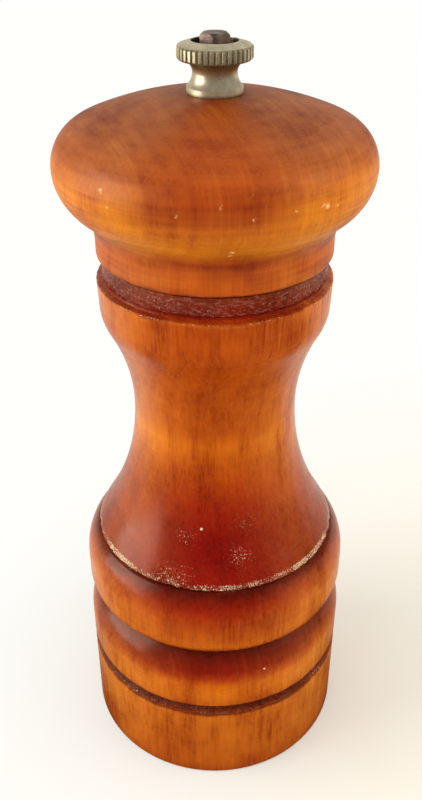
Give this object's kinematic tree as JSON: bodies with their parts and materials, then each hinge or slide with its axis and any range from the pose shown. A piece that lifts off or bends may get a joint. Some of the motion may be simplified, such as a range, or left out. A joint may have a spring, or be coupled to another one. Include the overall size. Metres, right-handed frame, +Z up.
{
  "type": "pepper mill",
  "caption": "Turned wooden pepper mill with a domed head that turns a steel grinder in the base, and a knurled nut that sets the grind.",
  "frame": {"origin": "centre of the base, on the surface the mill stands on", "axes": "+Z up along the mill's turning axis, from the base to the nut"},
  "size_m": [0.0572, 0.0572, 0.1523],
  "materials": {
    "stained_wood": "reddish stained and lacquered, worn",
    "plated_nut": "tarnished nickel plate",
    "shaft_steel": "darkened steel",
    "grinder_steel": "hardened, slightly oily",
    "plate_steel": "zinc plated",
    "spring_steel": "drawn wire",
    "bush_brass": "turned"
  },
  "bodies": {
    "mill_body": {"wooden_body": "stained_wood", "grinding_ring": "grinder_steel", "shaft_bridge": "plate_steel", "shaft_bush": "bush_brass", "retaining_plate": "plate_steel", "retaining_plate_screws": "plate_steel"},
    "spring_seat": {"spring_washer": "plate_steel", "rotor_spring": "spring_steel"},
    "spindle": {"drive_shaft": "shaft_steel", "grinding_cone": "grinder_steel", "rotor_washer": "plate_steel"},
    "head": {"wooden_head": "stained_wood", "driver_plate": "plate_steel", "driver_plate_screws": "plate_steel"},
    "nut": {"adjusting_nut": "plated_nut"}
  },
  "joints": [
    {"name": "head_turn", "type": "hinge", "parent": "mill_body", "child": "spring_seat", "pos_m": [0, 0, 0.0288], "axis": [0, 0, 1], "continuous": true},
    {"name": "grind_adjust", "type": "slide", "parent": "spring_seat", "child": "spindle", "axis": [0, 0, 1], "range_m": [-0.0012, 0.0004], "deforming": ["rotor_spring"]},
    {"name": "head_lift", "type": "slide", "parent": "spring_seat", "child": "head", "axis": [0, 0, 1], "range_m": [0, 0.06]},
    {"name": "nut_turn", "type": "hinge", "parent": "head", "child": "nut", "pos_m": [0, 0, 0.147], "axis": [0, 0, 1], "range_deg": [-270, 630]}
  ],
  "couplings": [
    {"joint": "nut_turn", "follows": "grind_adjust", "rad_per_m": -7854}
  ]
}
